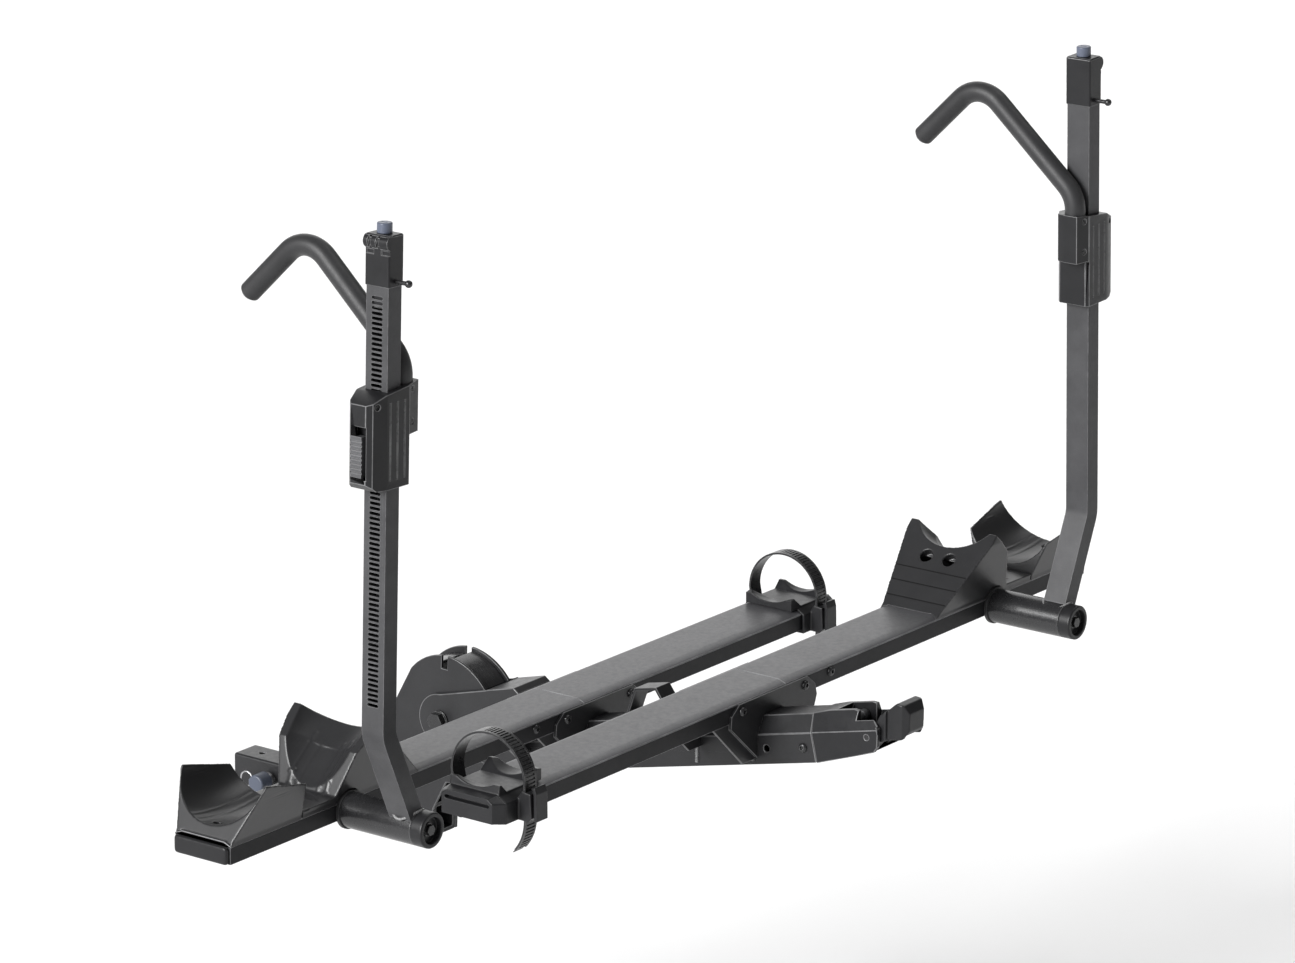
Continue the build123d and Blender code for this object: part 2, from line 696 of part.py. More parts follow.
def make_pivot_bush():
    with BuildPart() as bush:
        with BuildSketch(Plane.YZ.offset(-FORK_OUT - 1)):
            with Locations((TILT_Y, TILT_Z)):
                Circle(13)
                Circle(8 + RUN_GAP, mode=Mode.SUBTRACT)
        extrude(amount=2 * FORK_OUT + 2)
    return bush


def make_tilt_bolt():
    with BuildPart() as bolt:
        with BuildSketch(Plane.YZ.offset(-SPINE_HALF - 4)):
            with Locations((TILT_Y, TILT_Z)):
                Circle(8)
        extrude(amount=2 * SPINE_HALF + 8)
        for start, thick in ((SPINE_HALF, 3), (-SPINE_HALF - 3, 3)):
            with BuildSketch(Plane.YZ.offset(start)):
                with Locations((TILT_Y, TILT_Z)):
                    Circle(15.5)
            extrude(amount=thick)
        for start, thick in ((SPINE_HALF + 3, 13), (-SPINE_HALF - 14, 11)):
            with BuildSketch(Plane.YZ.offset(start)):
                with Locations((TILT_Y, TILT_Z)):
                    RegularPolygon(12, 6, major_radius=False)
            extrude(amount=thick)
    return bolt


def make_hitch_bolt():
    with BuildPart() as bolt:
        with BuildSketch(Plane.YZ.offset(-38)):
            Circle(HITCH_BOLT_R)
        extrude(amount=38 + 62)
        chamfer(bolt.faces().sort_by(Axis.X)[-1].edges(), length=1.5)
        with BuildSketch(Plane.YZ.offset(-38)):
            Circle(12)
        extrude(amount=6)
        # relief just outside the shank
        with BuildSketch(Plane.YZ.offset(26)):
            Circle(HITCH_BOLT_R + 2)
            Circle(HITCH_BOLT_R - 0.7, mode=Mode.SUBTRACT)
        extrude(amount=2, mode=Mode.SUBTRACT)
    return bolt


def make_hitch_knob():
    with BuildPart() as knob:
        with BuildSketch(Plane.YZ.offset(-38)):
            Circle(14)
        extrude(amount=-24)
        fillet(knob.faces().sort_by(Axis.X)[0].edges(), radius=3)
        with BuildSketch(Plane.XY.offset(-1.2)):
            with Locations((-48, 15)):
                Rectangle(9, 12)
            with Locations((-48, 17.3)):
                Circle(1.7, mode=Mode.SUBTRACT)
        extrude(amount=2.4)
    return knob


def make_lanyard_ring():
    with BuildPart() as ring:
        with Locations(Location((-48, 28.3, 0), (0, 90, 0))):
            Torus(11, 1.2)
    return ring


# ---------------------------------------------------------------- spine
def spine_section(along):
    """Plane across the spine, x along X and y square to the beam's underside."""
    rise = radians(SPINE_RISE)
    start = (0, TRAY_A_Y - along * cos(rise), SPINE_FOOT_Z + along * sin(rise))
    return Plane(origin=start, x_dir=(1, 0, 0), z_dir=(0, -cos(rise), sin(rise)))


def spine_profile(inset):
    half, side = SPINE_HALF - inset, SPINE_SIDE - 0.4 * inset
    top_half, top = SPINE_TOP_HALF - 0.5 * inset, SPINE_TALL - inset
    return [(-half, inset), (-half, side), (-top_half, top), (top_half, top), (half, side), (half, inset)]


def hub_outline():
    """Side view of the hub that reaches forward to the tilt bolt."""
    outline([(TILT_Y + 3, TILT_Z + 39), (-476.4, 241), (-486, 234), (-486, 117), (-452, 109),
             (TILT_Y - 8, TILT_Z - 38.7), (TILT_Y, TILT_Z)])
    with Locations((TILT_Y, TILT_Z)):
        Circle(39.5)
        Circle(8 + RUN_GAP, mode=Mode.SUBTRACT)


def make_spine_beam():
    start, end = -66.0, 476.0
    cheek = 5.0
    with BuildPart() as beam:
        with BuildSketch(spine_section(start)):
            outline(spine_profile(0))
        extrude(amount=end - start)
        for inner_face in (SPINE_HALF - cheek, -SPINE_HALF):
            with BuildSketch(Plane.YZ.offset(inner_face)):
                hub_outline()
            extrude(amount=cheek)
        with BuildSketch(Plane.YZ.offset(-SPINE_HALF)):
            outline([(-426, 227.8), (-476.4, 241), (-486, 234), (-486, 190), (-482, 190), (-482, 232),
                     (-475, 236.6), (-426, 223.8)])
        extrude(amount=2 * SPINE_HALF)
        with BuildSketch(spine_section(start - 1)):
            outline(spine_profile(SPINE_WALL))
        extrude(amount=end - start + 2, mode=Mode.SUBTRACT)
        # cross hole for a cable, and the seats of the housing's bolts
        for along, radius in ((CABLE_HOLE, 5.0), (HOUSING_BOLT, 4.0)):
            middle = spine_section(along).origin + 22.5 * spine_section(along).y_dir
            with BuildSketch(Plane.YZ.offset(-SPINE_HALF)):
                with Locations((middle.Y, middle.Z)):
                    Circle(radius)
            extrude(amount=2 * SPINE_HALF, mode=Mode.SUBTRACT)
        # guide slots for the latch pin
        with BuildSketch(notch_at(0).offset(-SPINE_HALF - 1)):
            with Locations((LATCH_AT + 8, 0)):
                SlotOverall(2 * LATCH_R + 18, 2 * LATCH_R + 0.4)
        extrude(amount=2 * SPINE_HALF + 2, mode=Mode.SUBTRACT)
    return beam


def make_bracket(side):
    """Two gusset plates that hold one tray on the beam, with a flange under each."""
    y0, z0 = SIDES[side][1], SIDES[side][2]
    thick = 4.0
    points = [(-82, -6), (-100, -20), (-102, -38), (-38, -96), (38, -96), (60, -66), (99, -54),
              (105, -38), (100, -20), (82, -6)]
    with BuildPart() as bracket:
        for face in (-TRAY_HALF + 0.8 - thick, TRAY_HALF - 0.8):
            with BuildSketch(Plane.XZ.offset(-y0 - face)):
                outline([(x, z0 + z) for x, z in points])
            extrude(amount=-thick)
        # wider wings behind the gussets, under the tray
        for face in (-TRAY_HALF + 0.8, TRAY_HALF - 0.8 - thick):
            with BuildSketch(Plane.XZ.offset(-y0 - face)):
                outline([(-138, z0 - TRAY_DEEP), (-68, z0 - 98), (68, z0 - 98), (90, z0 - TRAY_DEEP)])
            extrude(amount=-thick)
        with BuildSketch(spine_section(-120)):
            outline(spine_profile(0))
        extrude(amount=640, mode=Mode.SUBTRACT)
        with BuildSketch(Plane.YZ.offset(-120)):
            outline([(y0 + y, z0 + z) for y, z in
                     [(-TRAY_HALF, -COVER_LIP), *tray_outline(0, 0), (TRAY_HALF, -COVER_LIP)]])
        extrude(amount=240, mode=Mode.SUBTRACT)
        with BuildSketch(Plane.XZ.offset(-y0 - 80)):
            with Locations((-75, z0 - 17.7), (75, z0 - 17.7)):
                Circle(4.0)
        extrude(amount=160, mode=Mode.SUBTRACT)
    return bracket


def make_frame_bolts():
    """Button head bolts, two in each gusset plate of both brackets."""
    with BuildPart() as bolts:
        for side in ("a", "b"):
            y0, z0 = SIDES[side][1], SIDES[side][2]
            for sign in (-1, 1):
                face = y0 + sign * (TRAY_HALF - 0.8 + 4)
                with BuildSketch(Plane.XZ.offset(-face)):
                    with Locations((-75, z0 - 17.7), (75, z0 - 17.7)):
                        Circle(7)
                extrude(amount=-sign * 4)
                with BuildSketch(Plane.XZ.offset(-face)):
                    with Locations((-75, z0 - 17.7), (75, z0 - 17.7)):
                        Circle(4.0)
                extrude(amount=sign * 4)
                # one more on the tray itself, towards its chock
                with BuildSketch(Plane.XZ.offset(-(y0 + sign * (TRAY_HALF - 0.8)))):
                    with Locations(((-143 if side == "a" else 143), z0 - 15)):
                        Circle(7)
                extrude(amount=-sign * 4)
        chamfer(bolts.faces().filter_by(Axis.Y).filter_by(lambda f: f.area > 140).edges(), length=1.4)
        # two that hold the handle housing, on the beam's sides
        middle = spine_section(HOUSING_BOLT).origin + 22.5 * spine_section(HOUSING_BOLT).y_dir
        for sign in (-1, 1):
            for radius, length in ((7, 4), (4.0, -SPINE_WALL)):
                with BuildSketch(Plane.YZ.offset(sign * SPINE_HALF)):
                    with Locations((middle.Y, middle.Z)):
                        Circle(radius)
                extrude(amount=sign * length)
    return bolts


def make_hoop():
    """Bent flat bar on the beam between the trays, where a folded mast rests."""
    with BuildPart() as hoop:
        with BuildSketch(Plane.YZ):
            with BuildLine():
                Polyline((-664, 222.6), (-682, 274), (-718, 282), (-748, 242))
            trace(line_width=4)
        extrude(amount=16.5, both=True)
        with BuildSketch(spine_section(-20)):
            outline(spine_profile(0))
        extrude(amount=300, mode=Mode.SUBTRACT)
    return hoop


# ---------------------------------------------------------------- handle
def along_y(y, z):
    """Row position of a point given from the inner tray's middle and top."""
    return TRAY_A_Y + y, TRAY_A_Z + z


def make_handle_housing():
    body = [(-448.8, 59), (-464.4, -8.9), (-536, 17), (-560.4, 26), (-566, 34), (-567, 62), (-552, 75),
            (-507, 79)]
    with BuildPart() as housing:
        with BuildSketch(Plane.YZ):
            outline([along_y(y, z) for y, z in body])
        extrude(amount=40, both=True)
        # its upper edges slope like the beam's
        with BuildSketch(spine_section(420)):
            outline([(-60, -40), (-60, 130), (60, 130), (60, -40)])
            with BuildSketch(mode=Mode.SUBTRACT):
                outline([(-SPINE_HALF, -30), (-SPINE_HALF, 43), (-24, 72), (24, 72), (SPINE_HALF, 43),
                         (SPINE_HALF, -30)])
        extrude(amount=170, mode=Mode.SUBTRACT)
        # recess for the lever's ears and the pull rod, with a narrower mouth ahead of the lever
        with BuildSketch(Plane.YZ):
            outline([along_y(y, z) for y, z in [(-478, 42), (-478, 8), (-536, 24), (-580, 24), (-580, 90),
                                                (-526, 90), (-526, 42)]])
        extrude(amount=31, both=True, mode=Mode.SUBTRACT)
        with BuildSketch(Plane.YZ):
            outline([along_y(y, z) for y, z in [(-476, 30), (-530, 30), (-530, 90), (-492, 90)]])
        extrude(amount=19, both=True, mode=Mode.SUBTRACT)
        with BuildSketch(spine_section(440)):
            outline(spine_profile(SPINE_WALL + 6))
        extrude(amount=60, mode=Mode.SUBTRACT)
        with BuildSketch(Plane.YZ.offset(-50)):
            with Locations(along_y(LEVER_Y, LEVER_Z)):
                Circle(4)
        extrude(amount=100, mode=Mode.SUBTRACT)
    return housing


def make_release_lever():
    root = [(-542, 26), (-538, 30), (-538, 54), (-553, 57), (-564, 79), (-574, 87), (-574, 43), (-560, 38),
            (-552, 26)]
    grip = [(-566, 41), (-566, 80), (-588, 99.5), (-600, 98), (-607, 86), (-606, 60), (-598, 48), (-572, 43)]
    with BuildPart() as lever:
        with BuildSketch(Plane.YZ):
            outline([along_y(y, z) for y, z in root])
        extrude(amount=29, both=True)
        with BuildSketch(Plane.YZ):
            outline([along_y(y, z) for y, z in grip])
        extrude(amount=24, both=True)
        # finger hollow under the grip
        with BuildSketch(Plane.YZ):
            outline([along_y(y, z) for y, z in [(-577, 35), (-582, 58), (-592, 66), (-601, 62), (-601, 35)]])
        extrude(amount=20, both=True, mode=Mode.SUBTRACT)
        with BuildSketch(Plane.YZ.offset(-40)):
            with Locations(along_y(LEVER_Y, LEVER_Z)):
                Circle(4 + RUN_GAP)
        extrude(amount=80, mode=Mode.SUBTRACT)
        # slot between the lever's two ears, for the pull rod
        with BuildSketch(Plane.YZ):
            outline([along_y(y, z) for y, z in [(-530, 20), (-530, 70), (-566, 70), (-566, 20)]])
        extrude(amount=7, both=True, mode=Mode.SUBTRACT)
        # corner facets
        with BuildSketch(Plane.XY.offset(along_y(0, 0)[1])):
            outline([(-24.5, along_y(-612, 0)[0]), (-24.5, along_y(-596, 0)[0]), (-14, along_y(-612, 0)[0])])
            outline([(24.5, along_y(-612, 0)[0]), (24.5, along_y(-596, 0)[0]), (14, along_y(-612, 0)[0])])
        extrude(amount=120, mode=Mode.SUBTRACT)
    return lever


def make_lever_pin():
    with BuildPart() as pin:
        with BuildSketch(Plane.YZ.offset(-SPINE_HALF + 1)):
            with Locations(along_y(LEVER_Y, LEVER_Z)):
                Circle(4)
        extrude(amount=2 * SPINE_HALF - 2)
    return pin


def make_latch():
    """Cross pin in the hub and the rod that pulls it, stepped down into the beam."""
    seat = notch_at(0)
    drop = 60.0
    reach = 662.0
    with BuildPart() as latch:
        with BuildSketch(seat.offset(-SPINE_HALF + 0.5)):
            with Locations((LATCH_AT, 0)):
                Circle(LATCH_R)
        extrude(amount=2 * SPINE_HALF - 1)
        with BuildSketch(seat):
            with BuildLine():
                FilletPolyline((LATCH_AT + 3, 0), (LATCH_AT + 8, 0), (LATCH_AT + 36, drop),
                               (LATCH_AT + reach, drop), radius=4)
            trace(line_width=7)
        extrude(amount=3.5, both=True)
    return latch


# ---------------------------------------------------------------- write every piece
write(make_stinger(), "stinger")
write(make_fork_plates(), "fork_plates")
write(make_fork_web(), "fork_web")
write(make_pivot_bush(), "pivot_bush")
write(make_hitch_bolt(), "hitch_bolt")
write(make_hitch_knob(), "hitch_knob")
write(make_lanyard_ring(), "lanyard_ring")
write(make_spine_beam(), "spine_beam")
write(make_tilt_bolt(), "tilt_bolt")
write(make_bracket("a"), "bracket_a")
write(make_bracket("b"), "bracket_b")
write(make_frame_bolts(), "frame_bolts")
write(make_hoop(), "hoop")
write(make_handle_housing(), "handle_housing")
write(make_release_lever(), "release_lever")
write(make_lever_pin(), "lever_pin")
write(make_latch(), "latch")

write_both(make_tray(), "tray")
write_both(make_cover(), "tray_cover")
write_both(make_end_cap(), "end_cap")
write_both(make_chock(), "chock")
write_both(make_cradle(), "cradle")
write_both(make_pivot_axle(), "pivot_axle")
write_both(ring_about_pivot(TRAY_HALF + 0.05, TUBE_NEAR - 0.3, 27.5, AXLE_R), "pivot_seal")
write_both(ring_about_pivot(TUBE_NEAR, TUBE_FAR, PIVOT_TUBE_R, AXLE_R + RUN_GAP), "pivot_tube")
write_both(make_pivot_cap(), "pivot_cap")
write(make_pivot_bolts(), "pivot_bolts")
write_both(make_mast(), "mast")
write_both(make_mast_cap(), "mast_cap")
write_both(make_lock_core(), "lock_core")
write_both(make_lock_stud(), "lock_stud")
for side in SIDES:
    foot = CARRIAGE_W[side]
    write_carrier(make_carriage(foot), "carriage", side)
    write_carrier(make_hook(foot), "hook", side)
    write_carrier(make_button(foot), "button", side)
    write_carrier(make_pawl(foot), "pawl", side)
    start = UNIT_X[side]
    write_carrier(make_sleeve(start), "strap_sleeve", side)
    write_carrier(make_sleeve_cap(start), "sleeve_cap", side)
    write_carrier(make_strap(start), "strap", side)
    write_carrier(make_ratchet_lever(start), "ratchet_lever", side)
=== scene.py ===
import json
import math
import bmesh
import bpy
from mathutils import Matrix, Vector
from mathutils.bvhtree import BVHTree


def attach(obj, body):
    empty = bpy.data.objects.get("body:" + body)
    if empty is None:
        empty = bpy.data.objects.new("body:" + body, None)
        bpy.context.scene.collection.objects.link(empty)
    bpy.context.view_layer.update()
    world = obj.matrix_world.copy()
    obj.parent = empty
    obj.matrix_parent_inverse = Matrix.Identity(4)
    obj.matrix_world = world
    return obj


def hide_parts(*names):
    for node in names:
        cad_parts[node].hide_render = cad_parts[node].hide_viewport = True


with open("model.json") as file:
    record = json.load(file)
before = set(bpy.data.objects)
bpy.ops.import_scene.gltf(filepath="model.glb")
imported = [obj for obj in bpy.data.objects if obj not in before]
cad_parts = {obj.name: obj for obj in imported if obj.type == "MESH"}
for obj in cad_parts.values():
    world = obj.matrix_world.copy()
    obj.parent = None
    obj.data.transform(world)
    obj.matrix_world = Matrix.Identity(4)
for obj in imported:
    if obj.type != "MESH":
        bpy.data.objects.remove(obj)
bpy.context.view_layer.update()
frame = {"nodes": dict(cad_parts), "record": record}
NODES = frame["nodes"]

# row position of each tray's middle and top, and the way its chock end points
TRAY = {"a": (Vector((0, -0.552, 0.247)), -1.0), "b": (Vector((0, -0.862, 0.321)), 1.0)}
BODY = {n: b for b, ns in frame["record"]["behaviour"]["bodies"].items() for n in ns}
TRAY_FACE = 49.65 - 0.8              # from a tray's middle to the side of its body, mm
MAST_BEND = (624.8, -158.5, 128.5)   # where each mast turns upright, from its tray's middle and top, mm
LEAN = math.radians(1.94)            # the upright's lean towards the tray's middle
FOOT = {"a": 346.7, "b": 324.0}      # height of each carriage's foot above the bend, mm
UNIT = {"a": 488.0, "b": 518.0}      # inner edge of each strap unit from its tray's middle, mm
SPINE_START = (-552.0, 131.6)        # row y and z of the spine's measuring line under the inner tray, mm
SPINE_RISE = math.radians(13.0)
HOUSING_BOLT = (457.6, 22.5)         # along the spine and square to it, mm


def at(side, x, y, z):
    """Row position in metres of a point given in mm from a tray's middle and top."""
    mid, s = TRAY[side]
    return Vector((s * x / 1000, y / 1000, z / 1000)) + mid


def up_mast(side, u, v, w):
    """Row position of a point u outside the mast's line, v to the vehicle and w above its bend."""
    x = MAST_BEND[0] - w * math.sin(LEAN) + u * math.cos(LEAN)
    z = MAST_BEND[2] + w * math.cos(LEAN) + u * math.sin(LEAN)
    return at(side, x, MAST_BEND[1] + v, z)


def on_beam(x, along, square):
    """Row position on the spine: along it from under the inner tray, and square to that line."""
    y = SPINE_START[0] - along * math.cos(SPINE_RISE) + square * math.sin(SPINE_RISE)
    z = SPINE_START[1] + along * math.sin(SPINE_RISE) + square * math.cos(SPINE_RISE)
    return Vector((x, y, z)) / 1000


# ------------------------------------------------------------------ materials
def shade(name, base, rough, spec=0.5, metal=0.0, grain=0.0006, bump=0.15, mottle=0.12, edge_wear_highlight=0.0,
          edge_wear_highlight_colour=(0.16, 0.16, 0.165), edge=0.0014, smear=0.06, sheen=0.0, stretch=(1, 1, 1), dense=False,
          speck=0.18):
    """Procedural finish: fine grain, slow mottling, handling marks and lighter edges, part edge wear and part
    painted edge highlight.

    Dense meshes find these lighter edges by how pointed the surface is, the others with a rounded normal.
    """
    mat = bpy.data.materials.new(name)
    mat.use_nodes = True
    nt = mat.node_tree
    bsdf = nt.nodes["Principled BSDF"]
    out = nt.links.new

    def node(kind, **values):
        n = nt.nodes.new(kind)
        for key, value in values.items():
            if hasattr(n, key):
                setattr(n, key, value)
            else:
                n.inputs[key.replace("_", " ")].default_value = value
        return n

    coord = node("ShaderNodeTexCoord")
    scaled = node("ShaderNodeMapping")
    scaled.inputs["Scale"].default_value = stretch
    out(coord.outputs["Object"], scaled.inputs["Vector"])
    slow = node("ShaderNodeTexNoise", Scale=21.0, Detail=5.0, Roughness=0.6)
    fine = node("ShaderNodeTexNoise", Scale=1.0 / grain, Detail=2.0, Roughness=0.5)
    marks = node("ShaderNodeTexNoise", Scale=130.0, Detail=7.0, Roughness=0.72)
    for n in (slow, marks):
        out(coord.outputs["Object"], n.inputs["Vector"])
    out(scaled.outputs["Vector"], fine.inputs["Vector"])

    def ramp(source, low, high, at_low, at_high):
        n = node("ShaderNodeMapRange")
        n.inputs["From Min"].default_value = low
        n.inputs["From Max"].default_value = high
        n.inputs["To Min"].default_value = at_low
        n.inputs["To Max"].default_value = at_high
        out(source, n.inputs["Value"])
        return n.outputs["Result"]

    dark = [c * (1 - mottle) for c in base]
    light = [c * (1 + mottle) for c in base]
    tone = node("ShaderNodeMix", data_type="RGBA")
    tone.inputs["A"].default_value = (*dark, 1)
    tone.inputs["B"].default_value = (*light, 1)
    out(ramp(slow.outputs["Fac"], 0.35, 0.65, 0.0, 1.0), tone.inputs["Factor"])
    flecked = node("ShaderNodeMix", data_type="RGBA", blend_type="MULTIPLY")
    flecked.inputs["Factor"].default_value = 1.0
    out(tone.outputs["Result"], flecked.inputs["A"])
    out(ramp(fine.outputs["Fac"], 0.3, 0.7, 1 - speck, 1 + speck), flecked.inputs["B"])
    colour = flecked.outputs["Result"]
    roughness = ramp(marks.outputs["Fac"], 0.35, 0.7, max(rough - smear, 0.05), min(rough + smear, 1.0))
    # lighter edges: part edge wear, part painted highlight where light would catch a rounded edge
    if edge_wear_highlight > 0:
        soft = node("ShaderNodeBevel", samples=6, Radius=edge)
        geometry = node("ShaderNodeNewGeometry")
        dot = node("ShaderNodeVectorMath", operation="DOT_PRODUCT")
        out(soft.outputs["Normal"], dot.inputs[0])
        out(geometry.outputs["Normal"], dot.inputs[1])
        rim = ramp(dot.outputs["Value"], 0.995, 0.90, 0.0, 1.0)
        if dense:
            rim = ramp(geometry.outputs["Pointiness"], 0.53, 0.64, 0.0, 1.0)
        edge_patches = ramp(marks.outputs["Fac"], 0.38, 0.62, 0.15, 1.0)
        mask = node("ShaderNodeMath", operation="MULTIPLY")
        out(rim, mask.inputs[0])
        out(edge_patches, mask.inputs[1])
        amount = node("ShaderNodeMath", operation="MULTIPLY")
        out(mask.outputs["Value"], amount.inputs[0])
        amount.inputs[1].default_value = edge_wear_highlight
        worn_and_lit = node("ShaderNodeMix", data_type="RGBA")
        out(amount.outputs["Value"], worn_and_lit.inputs["Factor"])
        out(colour, worn_and_lit.inputs["A"])
        worn_and_lit.inputs["B"].default_value = (*edge_wear_highlight_colour, 1)
        colour = worn_and_lit.outputs["Result"]
    out(colour, bsdf.inputs["Base Color"])
    out(roughness, bsdf.inputs["Roughness"])
    if bump > 0:
        relief = node("ShaderNodeBump", Strength=bump, Distance=grain * 0.35)
        out(fine.outputs["Fac"], relief.inputs["Height"])
        out(relief.outputs["Normal"], bsdf.inputs["Normal"])
    bsdf.inputs["Metallic"].default_value = metal
    bsdf.inputs["Specular IOR Level"].default_value = spec
    bsdf.inputs["Sheen Weight"].default_value = sheen
    return mat


M = {
    "frame": shade("powder_black", (0.013, 0.013, 0.014), 0.38, 0.30, grain=0.0009, bump=0.2),
    "tray": shade("graphite_tray", (0.050, 0.050, 0.053), 0.40, 0.36, grain=0.0005, bump=0.10, mottle=0.08,
                  stretch=(0.25, 1, 1)),
    "tray_side": shade("graphite_body", (0.013, 0.013, 0.014), 0.42, 0.13, grain=0.0005, bump=0.10),
    "mast": shade("graphite_mast", (0.042, 0.042, 0.044), 0.45, 0.20, grain=0.0007, bump=0.25, edge_wear_highlight=0.8,
                  edge_wear_highlight_colour=(0.20, 0.20, 0.205), mottle=0.14),
    "tube": shade("gloss_tube", (0.016, 0.016, 0.017), 0.26, 0.5, grain=0.0009, bump=0.10, smear=0.04),
    "plastic": shade("moulded_black", (0.012, 0.012, 0.013), 0.36, 0.24, grain=0.0005, bump=0.18, edge_wear_highlight=0.8,
                     edge_wear_highlight_colour=(0.12, 0.12, 0.122), dense=True),
    "casing": shade("moulded_casing", (0.011, 0.011, 0.012), 0.36, 0.22, grain=0.0005, bump=0.18),
    "sheen": shade("moulded_sheen", (0.018, 0.018, 0.019), 0.34, 0.38, grain=0.0006, bump=0.03, edge_wear_highlight=0.6,
                   edge_wear_highlight_colour=(0.13, 0.13, 0.132), smear=0.02, mottle=0.08, dense=True, speck=0.05),
    "grey": shade("moulded_grey", (0.055, 0.055, 0.058), 0.42, 0.3, grain=0.0005, bump=0.2),
    "blue": shade("moulded_blue_grey", (0.065, 0.075, 0.105), 0.36, 0.4, grain=0.0006, bump=0.2),
    "knob": shade("knob_blue_grey", (0.050, 0.058, 0.080), 0.42, 0.35, grain=0.0006, bump=0.2, edge_wear_highlight=0.5,
                  edge_wear_highlight_colour=(0.20, 0.22, 0.28), dense=True),
    "rubber": shade("rubber_coat", (0.018, 0.018, 0.019), 0.48, 0.30, grain=0.0011, bump=0.4, mottle=0.15,
                    sheen=0.05, smear=0.05, edge_wear_highlight=0.5, edge_wear_highlight_colour=(0.08, 0.08, 0.08), dense=True),
    "strap": shade("strap_nylon", (0.010, 0.010, 0.011), 0.32, 0.45, grain=0.0009, bump=0.1, edge_wear_highlight=0.8,
                   edge_wear_highlight_colour=(0.16, 0.16, 0.16), edge=0.0008),
    "hardware": shade("black_hardware", (0.020, 0.020, 0.021), 0.28, 0.5, metal=0.3, grain=0.0005, bump=0.12,
                      edge_wear_highlight=0.9, edge_wear_highlight_colour=(0.26, 0.26, 0.26), edge=0.0010),
    "steel": shade("plain_steel", (0.42, 0.42, 0.43), 0.32, 0.5, metal=1.0, grain=0.0005, bump=0.2,
                   stretch=(6, 1, 1)),
    "bronze": shade("sintered_bronze", (0.45, 0.33, 0.18), 0.45, 0.5, metal=1.0, grain=0.0006, bump=0.3),
    "weld": shade("painted_weld", (0.15, 0.15, 0.152), 0.30, 0.5, grain=0.0016, bump=0.35),
    # near-black, used as painted shade in the chocks' tread lines
    "dark": shade("painted_groove_shade", (0.004, 0.004, 0.004), 0.6, 0.15, grain=0.001, bump=0.1),
}
# lighter copies of the finishes for bevel faces: a painted highlight along each edge, broken up like rubbed
# paint
EDGE_HIGHLIGHT = {
    "frame": shade("powder_black_edge_highlight", (0.075, 0.075, 0.077), 0.32, 0.5, grain=0.0009, bump=0.1, mottle=0.5),
    "tray": shade("graphite_tray_edge", (0.16, 0.16, 0.165), 0.34, 0.5, grain=0.0005, bump=0.1, mottle=0.35),
    "tray_side": shade("graphite_body_edge_highlight", (0.085, 0.085, 0.088), 0.36, 0.5, grain=0.0005, bump=0.1,
                       mottle=0.45),
    "tube": shade("gloss_tube_edge_highlight", (0.07, 0.07, 0.072), 0.26, 0.5, grain=0.0009, bump=0.1, mottle=0.4),
    "casing": shade("moulded_casing_edge_highlight", (0.090, 0.090, 0.092), 0.30, 0.5, grain=0.0005, bump=0.1,
                    mottle=0.4),
    "grey": shade("moulded_grey_edge_highlight", (0.17, 0.17, 0.175), 0.34, 0.5, grain=0.0005, bump=0.1, mottle=0.2),
}


# ------------------------------------------------------------------ mesh helpers
def finish_mesh(bm, name, material, body, sharp=32.0, weighted=True):
    """Turns a bmesh into a smooth-shaded piece that rides on a body."""
    mesh = bpy.data.meshes.new(name)
    bm.normal_update()
    bm.to_mesh(mesh)
    bm.free()
    mesh.polygons.foreach_set("use_smooth", [True] * len(mesh.polygons))
    mesh.set_sharp_from_angle(angle=math.radians(sharp))
    obj = bpy.data.objects.new(name, mesh)
    bpy.context.scene.collection.objects.link(obj)
    for finish in material if isinstance(material, list) else [material]:
        mesh.materials.append(finish)
    if weighted:
        mod = obj.modifiers.new("weighted", "WEIGHTED_NORMAL")
        mod.keep_sharp = True
        mod.weight = 60
    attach(obj, body)
    return obj


def clean_copy(node, whole=True):
    """The CAD mesh in one piece, with its flat faces whole again if they are to be bevelled."""
    bm = bmesh.new()
    bm.from_mesh(NODES[node].data)
    bmesh.ops.remove_doubles(bm, verts=bm.verts, dist=2e-6)
    if whole:
        bmesh.ops.dissolve_limit(bm, angle_limit=math.radians(0.3), verts=bm.verts, edges=bm.edges)
    return bm


def bevel_edges(bm, width, slot):
    """Bevels the edges that turn by 24 to 179 degrees; slot is the material of the new faces."""
    low, high = math.radians(24.0), math.radians(179.0)
    edges = [e for e in bm.edges if len(e.link_faces) == 2 and low < e.calc_face_angle(0.0) < high]
    if edges:
        bmesh.ops.bevel(bm, geom=edges, offset=width, offset_type="OFFSET", segments=2, profile=0.6,
                        affect="EDGES", clamp_overlap=False, loop_slide=True, material=slot)


def skin(node, material, width):
    """A CAD node with every edge rounded, in place of the sharp one."""
    bm = clean_copy(node)
    # the new bevel faces take the lighter copy of the finish, a painted edge highlight
    edge = EDGE_HIGHLIGHT.get(material)
    bevel_edges(bm, width, 1 if edge else -1)
    obj = finish_mesh(bm, node + "_skin", [M[material], edge] if edge else M[material], BODY[node], 40.0)
    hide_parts(node)


def flutes(bm, rows, x0, x1, radius, sink):
    """Low rounded ribs along X, laid on whatever the piece's top surface is."""
    tree = BVHTree.FromBMesh(bm)
    steps = 40
    for y, keep_to in rows:
        path = []
        for k in range(steps + 1):
            x = x0 + (x1 - x0) * k / steps
            spot, normal, _, _ = tree.ray_cast(Vector((x, y, 1.5)), Vector((0, 0, -1)))
            if spot is None:
                continue
            inward = normal.x * (0.725 - abs(x)) * (1 if x > 0 else -1)
            if normal.z > 0.15 and spot.z < keep_to and inward > -0.001:
                path.append(spot - normal * sink)
        if len(path) > 5:
            tube(bm, path, radius, 10)


